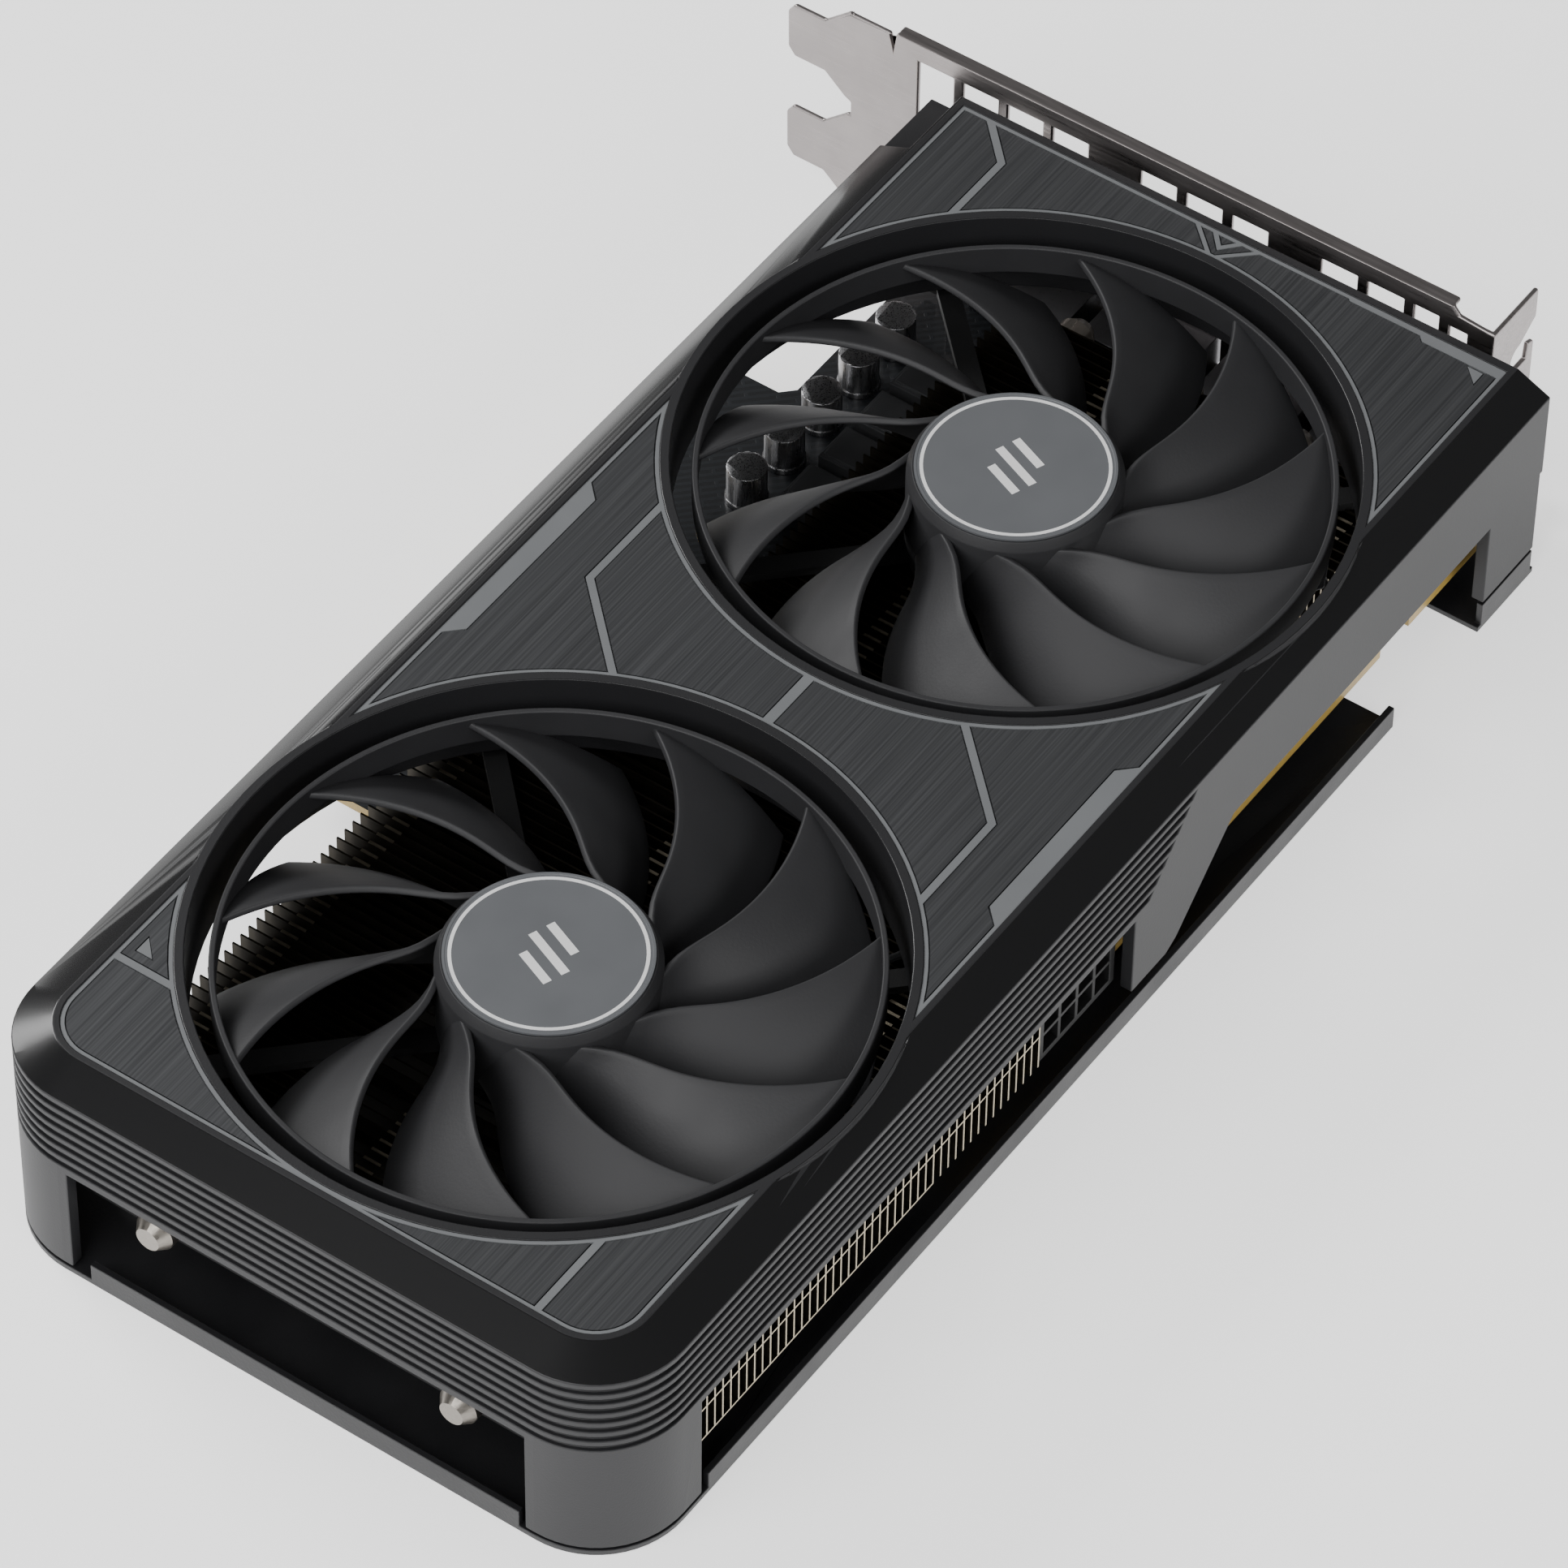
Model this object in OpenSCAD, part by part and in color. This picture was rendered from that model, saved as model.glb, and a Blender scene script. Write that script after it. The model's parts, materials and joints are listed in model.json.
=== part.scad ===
// Dual-fan graphics card, lying on its backplate with the fans up.
//
// Row frame: +Z out of the fans, +X towards the I/O bracket, +Y towards the slot edge connector.
// The origin is the centre of the card's footprint, on the plane of the backplate's underside.
// Every sub-part is drawn about the middle of the two fans and moved there by card().

/* [Shroud] */
// Length of the shroud along the card
shroud_l = 224.2; // [222:0.2:228]
// Width of the shroud across the fans
shroud_w = 106; // [106:0.5:110]
// Height of the face above the backplate's underside
face_z = 38.3; // [38:0.1:40]
// Radius of the shroud's far corners
corner_r = 14; // [12:0.5:16]
// Wall thickness of the shroud
wall = 2; // [1.6:0.1:2.4]
// Width of the bevel round the face
bevel_w = 5.6; // [5:0.1:6]
// Depth of the bevel below the face
bevel_h = 2.5; // [2:0.1:3]

/* [Fans] */
// Distance between the two fan axes
fan_pitch = 110.6; // [108:0.2:112]
// Radius of the fan openings
duct_r = 48.4; // [48:0.1:48.6]
// Outer radius of the ring that joins the blade tips
ring_r = 45.3; // [44.8:0.1:46]
// Radius of the fan hub
hub_r = 15.4; // [15:0.1:16]
// Blades on each fan
blades = 11; // [7:1:11]
// Radius of the fan shaft
shaft_r = 1.25; // [1.2:0.05:1.5]
// Running clearance of the shaft in its sleeve
shaft_gap = 0.03; // [0.02:0.01:0.06]

/* [Cooler] */
// Distance from one fin to the next
fin_pitch = 1.8; // [1.6:0.1:2.4]
// Thickness of a fin
fin_t = 0.3; // [0.2:0.05:0.4]
// Radius of a heat pipe
pipe_r = 3; // [2.8:0.1:3]

/* [Board] */
// Thickness of the circuit board
pcb_t = 1.57; // [1.5:0.01:1.6]
// Width of the edge connector's key slot
key_w = 1.9; // [1.8:0.05:2]
// Contacts on each side between the key and the bracket
short_contacts = 11; // [11:1:11]
// Contacts on each side beyond the key
long_contacts = 71; // [31:1:71]

/* [Bracket] */
// Distance between neighbouring expansion slots
slot_pitch = 20.32; // [20.32:0.01:20.32]
// Width of one slot's bracket
slot_w = 18.42; // [18.3:0.01:18.5]
// Thickness of the bracket sheet
bracket_t = 0.86; // [0.8:0.02:1]

/* [Hidden] */
$fn = 64;
eps = 0.01;

// Extents along the card, about the middle of the fans
x_far = -112.5;
x_near = x_far + shroud_l;
half_w = shroud_w / 2;
bracket_x = x_near + 1.9;
tab_end = bracket_x + 11.9;
tongue_end = 80;
mid_x = -(x_far + tab_end) / 2;
mid_y = -(tongue_end - half_w) / 2;
fan_x = fan_pitch / 2;

// Heights
bevel_z = face_z - bevel_h;
rib_z = 20.7;
leg_z = 1.5;
pocket_z = face_z - 0.8;
plate_z = face_z - 0.2;
roof_z = face_z - 2;
badge_z = face_z - 1;
frame_z = 21.8;
frame_t = 1.4;
fin_top = 21.6;
fin_low = 9.3;
pcb_z = 5.6;
board_z = pcb_z + pcb_t;
base_z = board_z + 2;
base_t = 3;
pipe_z = base_z + base_t + pipe_r;

// Face
border_w = 1;
lip_w = 1.5;
strip_t = 0.35;
line_w = 0.55;
groove_w = 0.2;

// Legs at the far corners, along the card
leg_l = 18.1;

// Ribs on the side walls
rib_count = 7;
rib_pitch = (bevel_z - rib_z) / (rib_count + 0.75);
rib_d = 0.7;

// Fan
ring_t = 0.9;
ring_top = badge_z - 1.2;
ring_low = ring_top - 4.9;
blade_top = 34.8;
blade_drop = 10.2;
blade_t = 1.1;
hub_low = 23.8;
near_turn = 5;
bearing_r = 3;
ear_at = 37.5;

// Cooler
far_fins = [x_far + 8.5, -13];
near_fins = [-11.2, 96];
gpu_x = 18;
hole_dx = 27;
hole_dy = 24;
spring_z = 2.5;
pipe_offset_far = 25;
pipe_offset_base = 9;
pipe_offset_near = 19;
bend_r = 18;
pipe_end = 100.4;

// Board and slot edge
pcb_far = -28;
pcb_near = bracket_x - 0.4;
pcb_top_y = -46.8;
pcb_slot_y = 58.7;
finger_y = half_w + 13.7;
key_x = bracket_x - 57.15;
contact_pitch = 1;

// Bracket, across the slots
bracket_z = 3.1;
bracket_top = bracket_z + slot_w + slot_pitch;
tab_y = -41.3;
body_end = 69.1;
port_z = board_z + 0.3;

module card() {
    translate([mid_x, mid_y, 0]) children();
}

module both_fans() {
    for (side = [-1, 1]) translate([side * fan_x, 0, 0]) children();
}

// Outline of the shroud seen from above, moved in by inset all round
module plan(inset) {
    r = corner_r - inset;
    translate([x_far + corner_r, -half_w + inset])
        square([x_near - x_far - corner_r, shroud_w - 2 * inset]);
    translate([x_far + inset, -half_w + corner_r]) square([corner_r, shroud_w - 2 * corner_r]);
    for (s = [-1, 1]) translate([x_far + corner_r, s * (half_w - corner_r)]) circle(r);
}

// Sweeps a wall section (depth inwards, height) along the top edge, the far end and the slot edge
module swept_wall(section) {
    straight = x_near - x_far - corner_r;
    for (s = [-1, 1]) {
        translate([x_far + corner_r, s * half_w, 0])
            mirror([0, s > 0 ? 1 : 0, 0])
                rotate([90, 0, 90]) linear_extrude(straight) polygon(section);
        translate([x_far + corner_r, s * (half_w - corner_r), 0])
            mirror([0, s > 0 ? 1 : 0, 0])
                rotate([0, 0, 180]) rotate_extrude(angle = 90)
                    polygon([for (p = section) [corner_r - p[0], p[1]]]);
    }
    translate([x_far, half_w - corner_r, 0])
        rotate([90, 0, 0]) linear_extrude(shroud_w - 2 * corner_r) polygon(section);
}

// Flat outline in length and height, standing on the top-edge wall
module on_top_wall(depth) {
    translate([0, -half_w + depth, 0]) rotate([90, 0, 0]) linear_extrude(depth) children();
}

module rib_grooves() {
    difference() {
        for (i = [0 : rib_count - 1])
            translate([0, 0, rib_z + (i + 0.75) * rib_pitch])
                linear_extrude(rib_pitch * 0.5) difference() {
                    translate([x_far - 1, -half_w - 1]) square([shroud_l, shroud_w + 2]);
                    plan(rib_d);
                }
        // The smooth panel that the ribs run into has a slanted end
        translate([0, half_w + 2, 0]) rotate([90, 0, 0]) linear_extrude(shroud_w + 4)
            polygon([
                [8.2, rib_z - 1], [22.6, bevel_z + 1],
                [x_near + 2, bevel_z + 1], [x_near + 2, rib_z - 1]
            ]);
    }
}

module shroud_legs() {
    // Rounded legs at the two far corners
    for (s = [-1, 1]) mirror([0, s > 0 ? 1 : 0, 0]) {
        translate([x_far + corner_r, -half_w + corner_r, 0])
            rotate([0, 0, 180]) rotate_extrude(angle = 90)
                translate([corner_r - wall, leg_z]) square([wall, rib_z - leg_z + eps]);
        translate([x_far + corner_r - eps, -half_w, leg_z])
            cube([leg_l - corner_r + eps, wall, rib_z - leg_z + eps]);
        translate([x_far, -half_w + corner_r - eps, leg_z])
            cube([wall, 1.5, rib_z - leg_z + eps]);
    }
    // Slanted leg between the fin opening and the smooth panel
    on_top_wall(wall) polygon([[7, 6.1], [15.5, 6.1], [18, 7.4], [31.5, rib_z + eps], [7, rib_z + eps]]);
    // Square leg at the bracket end
    on_top_wall(wall) polygon([[97.6, 5.5], [111.1, 5.5], [111.1, rib_z + eps], [97.6, rib_z + eps]]);
}

module fan_bosses() {
    both_fans() for (a = [45 : 90 : 315])
        rotate([0, 0, a]) translate([ear_at * sqrt(2), 0, frame_z + frame_t])
            cylinder(h = roof_z - frame_z - frame_t + eps, r = 3);
}

module shroud() {
    color("#3b3b3d") card() difference() {
        union() {
            swept_wall([
                [0, rib_z], [0, bevel_z], [bevel_w, face_z], [bevel_w + 0.2, roof_z],
                [wall + 1, bevel_z - 1.4], [wall, bevel_z - 2], [wall, rib_z]
            ]);
            shroud_legs();
            // Roof under the face plate, with its raised border
            translate([0, 0, roof_z]) linear_extrude(face_z - roof_z) plan(bevel_w - eps);
            both_fans() translate([0, 0, 24.5]) cylinder(h = face_z - 24.5, r = duct_r + lip_w, $fn = 128);
            fan_bosses();
        }
        rib_grooves();
        both_fans() translate([0, 0, 20]) cylinder(h = 30, r = duct_r, $fn = 128);
        // Pocket for the face plate
        translate([0, 0, pocket_z]) linear_extrude(face_z) panel();
        // Step at the slot edge, clear of the bracket's tongues
        translate([98.5, 47.9, bevel_z - 1]) cube([20, 20, 10]);
        // Screw holes in the bosses
        both_fans() for (a = [45 : 90 : 315])
            rotate([0, 0, a]) translate([ear_at * sqrt(2), 0, frame_z]) cylinder(h = 8, r = 1.1);
    }
}

// Thin plate behind the far opening, which the heat pipes pass through
module end_baffle() {
    low = 8.6;
    reach = half_w - wall - 0.1;
    color("#161618") card() difference() {
        translate([far_fins[0] - 1.2, -reach, low]) cube([1.2, 2 * reach, frame_z - low]);
        // Clear of the rounded corner legs
        linear_extrude(40) difference() {
            translate([x_far - 1, -half_w - 1]) square([leg_l, shroud_w + 2]);
            plan(wall + 0.1);
        }
        for (s = [-1, 1]) translate([x_far + 5, s * pipe_offset_far, pipe_z])
            rotate([0, 90, 0]) cylinder(h = 4, r = pipe_r + 0.6);
        // Inspection window
        translate([x_far + 5, -11, 12]) cube([4, 7.5, 4.5]);
    }
}

// Face inside its raised border and clear of the fan openings, moved in by inset
module panel(inset = 0) {
    difference() {
        intersection() {
            plan(bevel_w + border_w + inset);
            translate([x_far, -half_w]) square([x_near - 1.5 - inset - x_far, shroud_w]);
        }
        both_fans() circle(duct_r + lip_w + inset, $fn = 128);
    }
}

// A strip of constant width along a line of points, mitred at its bends
module strip(points, width) {
    last = len(points) - 1;
    function leg(i) = unit(points[i] - points[i - 1]);
    function side(i) =
        let (before = leg(max(i, 1)))
        let (mitre = unit(before + leg(min(i + 1, last))))
        [-mitre[1], mitre[0]] * width / 2 / (mitre * before);
    polygon(concat(
        [for (i = [0 : last]) points[i] + side(i)],
        [for (i = [last : -1 : 0]) points[i] - side(i)]
    ));
}

// Inlaid strips, widened by grow on each side
module accent_outline(grow = 0) {
    edge_x = x_near - 1.5;
    edge_y = half_w - bevel_w - border_w;
    thin = 1.1 + 2 * grow;
    // Line round each panel
    difference() {
        panel();
        panel(line_w + grow);
    }
    intersection() {
        panel();
        union() {
            // Corner strips at the far end
            strip([[-89.6, 30], [-89.6, edge_y + 1]], thin);
            strip([[x_far, -34.8], [-80, -34.8]], thin);
            // Bent strips and the bar between the fans
            strip([[-14, 18.2], [2.6, 35.3], [30, 35.3]], thin);
            strip([[14, -18.2], [-2.6, -35.3], [-30, -35.3]], thin);
            strip([[-15, 0], [15, 0]], 1.6 + 2 * grow);
            // Bent strip at the bracket end
            strip([[80, 35.3], [103.6, 35.3], [edge_x + 2, 43.7]], thin);
            // Solid bars on the long edges
            for (s = [-1, 1]) polygon([
                [-18 - grow, s * edge_y], [18 + grow, s * edge_y],
                [15 + grow, s * (edge_y - 3 - grow)], [-15 - grow, s * (edge_y - 3 - grow)]
            ]);
            // Bar beside the bracket
            polygon([
                [edge_x, -19.8 + grow], [edge_x - 0.9 - grow, -20.7], [edge_x - 0.9 - grow, -32.5],
                [edge_x - 1.8 - grow, -33.4], [edge_x - 1.8 - grow, -edge_y], [edge_x, -edge_y]
            ]);
            // Chevron at the bracket end
            strip([[edge_x + 1, 7], [105, 0.3], [edge_x + 1, -6.4]], 0.6 + 2 * grow);
            strip([[edge_x, 2.8], [107.4, 0.3], [edge_x, -2.2]], 0.7 + 2 * grow);
        }
    }
    // Small triangles in two corners
    g = 1.7 * grow;
    polygon([[-87.4 - grow, 44.3 + grow], [-84.7 + g, 44.3 + grow], [-87.4 - grow, 41.7 - g]]);
    polygon([[105.6 - g, -43.8 - grow], [108 + grow, -41.3 + g], [108 + grow, -43.8 - grow]]);
}

module face_plate() {
    color("#4f5052") card() difference() {
        translate([0, 0, pocket_z]) linear_extrude(plate_z - pocket_z) panel();
        translate([0, 0, plate_z - strip_t]) linear_extrude(1) accent_outline(groove_w);
    }
}

module accent_strips() {
    color("#848587") card()
        translate([0, 0, plate_z - strip_t]) linear_extrude(strip_t) accent_outline();
}

// side is -1 for the far fan and 1 for the fan beside the bracket
module at_fan(side) {
    card() translate([side * fan_x, 0, 0]) children();
}

module fan_frame(side) {
    reach = ear_at * sqrt(2);
    color("#2b2b2d") at_fan(side) difference() {
        union() {
            translate([0, 0, frame_z]) cylinder(h = frame_t, r = hub_r);
            translate([0, 0, frame_z]) cylinder(h = 9, r = bearing_r + 1.2);
            for (a = [45 : 90 : 315]) rotate([0, 0, a]) {
                translate([hub_r - 1, -1.6, frame_z]) cube([reach - hub_r + 1, 3.2, frame_t]);
                translate([reach, 0, frame_z]) cylinder(h = frame_t, r = 3.2);
            }
        }
        translate([0, 0, frame_z + 0.8]) cylinder(h = 20, r = bearing_r);
        for (a = [45 : 90 : 315]) rotate([0, 0, a]) translate([reach, 0, frame_z - eps]) {
            cylinder(h = 5, r = 1.3);
            cylinder(h = 0.9, r = 2.3);
        }
    }
}

module fan_screws() {
    color("#8d8f92") card() both_fans() for (a = [45 : 90 : 315])
        rotate([0, 0, a]) translate([ear_at * sqrt(2), 0, frame_z]) {
            cylinder(h = 0.85, r = 2.1);
            cylinder(h = 6.5, r = 1.05);
        }
}

module bearing(side) {
    color("#a07c4a") at_fan(side) translate([0, 0, frame_z + 0.8]) difference() {
        cylinder(h = 7.8, r = bearing_r);
        translate([0, 0, 0.6]) cylinder(h = 10, r = shaft_r + shaft_gap);
    }
}

module stator(side) {
    slots = 9;
    color("#9a5a34") at_fan(side) translate([0, 0, frame_z + frame_t + 1.2]) difference() {
        cylinder(h = 6, r = 12.2);
        translate([0, 0, -1]) cylinder(h = 8, r = bearing_r + 1.2);
        for (i = [0 : slots - 1]) rotate([0, 0, i * 360 / slots]) {
            translate([8.6, 0, -1]) cylinder(h = 8, r = 1.9);
            translate([8.6, -0.5, -1]) cube([5, 1, 8]);
        }
    }
}

module magnet(side) {
    color("#5c5c60") at_fan(side) translate([0, 0, hub_low + 0.8]) difference() {
        cylinder(h = 8, r = hub_r - 0.9);
        translate([0, 0, -1]) cylinder(h = 10, r = hub_r - 2.4);
    }
}

module shaft(side) {
    color("#c8cacc") at_fan(side)
        translate([0, 0, frame_z + 1.6]) cylinder(h = badge_z - 1.2 - frame_z - 1.6, r = shaft_r);
}

// Blade surface: the leading edge is on top and sweeps round as it goes out
function lead_angle(r) = 22.3 + 1.13 * (r - 20) - 14 * exp(-(r - 15.4) / 1.8);
function chord_angle(r) = 22 + 0.17 * (r - 15);
function blade_point(r, s, up) =
    let (a = lead_angle(r) - chord_angle(r) * s)
    let (z = blade_top - blade_drop * s + 0.9 * sin(180 * s) + up * blade_t / 2)
    [r * cos(a), r * sin(a), z];

module blade() {
    r_in = hub_r - 0.4;
    r_out = ring_r - ring_t / 2;
    n = 8;
    m = 4;
    points = [
        for (up = [-1, 1]) for (i = [0 : n]) for (j = [0 : m])
            blade_point(r_in + (r_out - r_in) * i / n, j / m, up)
    ];
    w = m + 1;
    low = (n + 1) * w;
    faces = concat(
        [for (i = [0 : n - 1]) for (j = [0 : m - 1])
            for (t = [[0, 1, w], [1, w + 1, w]]) [for (k = t) i * w + j + k]],
        [for (i = [0 : n - 1]) for (j = [0 : m - 1])
            for (t = [[0, w, 1], [1, w, w + 1]]) [for (k = t) low + i * w + j + k]],
        [for (i = [0 : n - 1]) for (t = [[0, w, low], [w, low + w, low]]) [for (k = t) i * w + k]],
        [for (i = [0 : n - 1]) for (t = [[0, low, w], [w, low, low + w]]) [for (k = t) i * w + m + k]],
        [for (j = [0 : m - 1]) for (t = [[0, low, 1], [1, low, low + 1]]) [for (k = t) j + k]],
        [for (j = [0 : m - 1]) for (t = [[0, 1, low], [1, low + 1, low]]) [for (k = t) n * w + j + k]]
    );
    polyhedron(points = points, faces = faces);
}

module rotor(side) {
    color("#333335") at_fan(side) {
        rotate_extrude($fn = 96) polygon([
            [shaft_r, badge_z - 2.6], [shaft_r, badge_z - 1.2], [0, badge_z - 1.2], [0, badge_z - 0.3],
            [hub_r - 1, badge_z - 0.3], [hub_r - 0.9, badge_z - 0.2], [hub_r, badge_z - 1.8],
            [hub_r, hub_low], [hub_r - 0.9, hub_low], [hub_r - 0.9, badge_z - 2.6]
        ]);
        rotate_extrude($fn = 96) polygon([
            [ring_r - ring_t, ring_low], [ring_r, ring_low], [ring_r, ring_top], [ring_r - ring_t, ring_top]
        ]);
        for (i = [0 : blades - 1]) rotate([0, 0, i * 360 / blades + (side > 0 ? near_turn : 0)]) blade();
    }
}

module fan_badge(side) {
    color("#787a7c") at_fan(side)
        translate([0, 0, badge_z - 0.3]) cylinder(h = 0.3, r = hub_r - 1.1);
}

// Round tube swept along a list of points
function unit(v) = v / norm(v);
function tangent(p, i) = unit(p[min(i + 1, len(p) - 1)] - p[max(i - 1, 0)]);
module tube(path, r) {
    sides = 8;
    n = len(path);
    points = [
        for (i = [0 : n - 1])
            let (t = tangent(path, i), u = unit(cross(t, [0.55, 0.83, 0.1])), v = cross(t, u))
            for (k = [0 : sides - 1]) path[i] + r * (cos(k * 360 / sides) * u + sin(k * 360 / sides) * v)
    ];
    rings = [
        for (i = [0 : n - 2]) for (k = [0 : sides - 1])
            let (a = i * sides + k, b = i * sides + (k + 1) % sides)
            [a, b, b + sides, a + sides]
    ];
    polyhedron(points, concat(
        rings,
        [[for (k = [sides - 1 : -1 : 0]) k]],
        [[for (k = [0 : sides - 1]) (n - 1) * sides + k]]
    ));
}

// Leads: out beside one arm of the frame, over the fins and down to a header on the board
lead_r = 0.6;
lead_z = frame_z + 0.7;
plug_top = 13;
near_lead = [
    [64.17, -12.62, lead_z], [70.2, -18.65, lead_z], [73.5, -24, lead_z], [74.5, -31, lead_z],
    [74.5, -39.5, 22.4], [73.5, -42.6, 20], [71.5, -43.9, 16.5], [71.5, -43.9, plug_top]
];
far_lead = [
    [-42.68, -8.87, lead_z], [-31.7, -19.8, lead_z], [-22.7, -28.7, lead_z], [-15, -32.5, lead_z],
    [-9, -39, lead_z], [-2, -45, lead_z], [10, -46.5, lead_z], [30, -46.5, lead_z], [50, -46.5, lead_z],
    [70, -46.5, lead_z], [84, -46, 22], [91, -44.8, 20], [95, -43.9, 16.5], [95, -43.9, plug_top]
];
header_places = [[71.5, -43.9], [95, -43.9]];
header_h = 3;

module fan_lead_far() {
    color("#1c1c1e") card() tube(far_lead, lead_r);
}

module fan_lead_near() {
    color("#1c1c1e") card() tube(near_lead, lead_r);
}

module lead_plugs() {
    color("#e6e2d6") card() for (p = header_places)
        translate([p[0] - 3.5, p[1] - 2, board_z + header_h]) cube([7, 4, plug_top - board_z - header_h]);
}

module fan_headers() {
    color("#d8d4c6") card() for (p = header_places)
        translate([p[0] - 3.7, p[1] - 2.2, board_z]) cube([7.4, 4.4, header_h]);
}

// Fins stand across the card; span lists where they start and stop
module fin_row(span, low, high, y0, y1) {
    for (x = [span[0] : fin_pitch : span[1]])
        translate([x, y0, low]) cube([fin_t, y1 - y0, high - low]);
}

// Folded tabs at the fins' edges lock one fin to the next
module fin_tabs(span, ys, z) {
    last = span[0] + floor((span[1] - span[0]) / fin_pitch) * fin_pitch;
    for (y = ys) translate([span[0], y, z]) cube([last - span[0] + fin_t, 3, 0.3]);
}

module fins_far() {
    color("#a9abad") card() difference() {
        union() {
            fin_row(far_fins, fin_low, fin_top, -51.5, 44);
            fin_tabs([far_fins[0], -38], [-51.5, -10, 10, 41], fin_low);
            fin_tabs(far_fins, [-51.5, 41], (fin_low + fin_top) / 2);
        }
        for (s = [-1, 1]) translate([x_far, s * pipe_offset_far, pipe_z])
            rotate([0, 90, 0]) cylinder(h = 110, r = pipe_r);
        // Room for the bends of the pipes
        translate([-38, -30, 0]) cube([30, 60, pipe_z + pipe_r + 0.1]);
        translate([-42, -4, 0]) cube([10, 8, pipe_z + pipe_r + 0.1]);
        // Clear of the shroud's wall and corner legs
        translate([x_far, -half_w, rib_z - 0.2]) cube([shroud_l, wall + 0.2, 5]);
        linear_extrude(30) difference() {
            translate([x_far - 1, -half_w - 1]) square([leg_l + 1.3, shroud_w + 2]);
            plan(wall + 0.2);
        }
    }
}

module fins_near() {
    bend_end = 68;
    color("#a9abad") card() difference() {
        union() {
            fin_row(near_fins, 12.6, fin_top, -40, 27);
            fin_tabs(near_fins, [-40, 24], 12.6);
        }
        for (y = [-pipe_offset_near, 0, pipe_offset_near]) translate([40, y, pipe_z])
            rotate([0, 90, 0]) cylinder(h = 60, r = pipe_r);
        translate([-20, -24, 0]) cube([bend_end + 20, 48, pipe_z + pipe_r + 0.1]);
    }
}

// A pipe that shifts sideways by two equal bends, from x = 0
module shift_bend(offset) {
    turn = acos(1 - offset / (2 * bend_r));
    translate([0, bend_r, 0]) rotate([0, 0, -90]) rotate_extrude(angle = turn, $fn = 96)
        translate([bend_r, 0]) circle(pipe_r, $fn = 32);
    translate([2 * bend_r * sin(turn), offset - bend_r, 0])
        rotate([0, 0, 90]) rotate_extrude(angle = turn, $fn = 96)
            translate([bend_r, 0]) circle(pipe_r, $fn = 32);
}

function shift_length(offset) = 2 * bend_r * sin(acos(1 - offset / (2 * bend_r)));

module run(x0, x1, y) {
    translate([x0, y, pipe_z]) rotate([0, 90, 0]) cylinder(h = x1 - x0, r = pipe_r);
}

// The crimped and sealed tip of a pipe
module pipe_tip(x, y, dir) {
    translate([x, y, pipe_z]) rotate([0, dir * 90, 0]) cylinder(h = 1.6, r1 = pipe_r, r2 = pipe_r * 0.62);
}

module outer_pipe(side) {
    far_shift = pipe_offset_far - pipe_offset_base;
    near_shift = pipe_offset_near - pipe_offset_base;
    base_far = -6;
    base_near = 42;
    bend_far = base_far - shift_length(far_shift);
    bend_near = base_near + shift_length(near_shift);
    color("#b7b4ae") card() mirror([0, side > 0 ? 0 : 1, 0]) {
        run(x_far + 2.6, bend_far, pipe_offset_far);
        pipe_tip(x_far + 2.6, pipe_offset_far, -1);
        translate([bend_far, pipe_offset_far, pipe_z]) mirror([0, 1, 0]) shift_bend(far_shift);
        run(base_far, base_near, pipe_offset_base);
        translate([base_near, pipe_offset_base, pipe_z]) shift_bend(near_shift);
        run(bend_near, pipe_end, pipe_offset_near);
        pipe_tip(pipe_end, pipe_offset_near, 1);
    }
}

module heat_pipe_mid() {
    color("#b7b4ae") card() {
        run(-36, pipe_end, 0);
        pipe_tip(-36, 0, -1);
        pipe_tip(pipe_end, 0, 1);
    }
}

module base_plate() {
    color("#b9b6b0") card() difference() {
        union() {
            translate([gpu_x - 31, -29, base_z]) cube([62, 58, base_t]);
            for (sx = [-1, 1], sy = [-1, 1])
                translate([gpu_x + sx * hole_dx, sy * hole_dy, board_z]) cylinder(h = 2 + eps, r = 2.6);
        }
        for (sx = [-1, 1], sy = [-1, 1])
            translate([gpu_x + sx * hole_dx, sy * hole_dy, 0]) cylinder(h = base_z + 2, r = 1.25);
    }
}

module thermal_pads() {
    pad_z = board_z + 1.1;
    color("#8f9aa6") card() for (p = memory_places)
        translate([p[0] - 5, p[1] - 4, pad_z]) cube([10, 8, base_z - pad_z]);
}

module cooler_screws() {
    color("#8d8f92") card() for (sx = [-1, 1], sy = [-1, 1])
        translate([gpu_x + sx * hole_dx, sy * hole_dy, 0]) {
            translate([0, 0, spring_z - 1]) cylinder(h = 1, r = 3);
            translate([0, 0, spring_z - 1]) cylinder(h = base_z + 1 - (spring_z - 1), r = 1.2);
        }
}

module cooler_springs() {
    wire = 0.35;
    color("#c2c4c6") card() for (sx = [-1, 1], sy = [-1, 1])
        translate([gpu_x + sx * hole_dx, sy * hole_dy, 0]) for (i = [0 : 3])
            translate([0, 0, spring_z + wire + i * (pcb_z - spring_z - 2 * wire) / 3])
                rotate_extrude() translate([2.2, 0]) circle(wire, $fn = 16);
}

memory_places = [[-4.5, 14], [-4.5, -14], [40.5, 14], [40.5, -14]];

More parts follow.
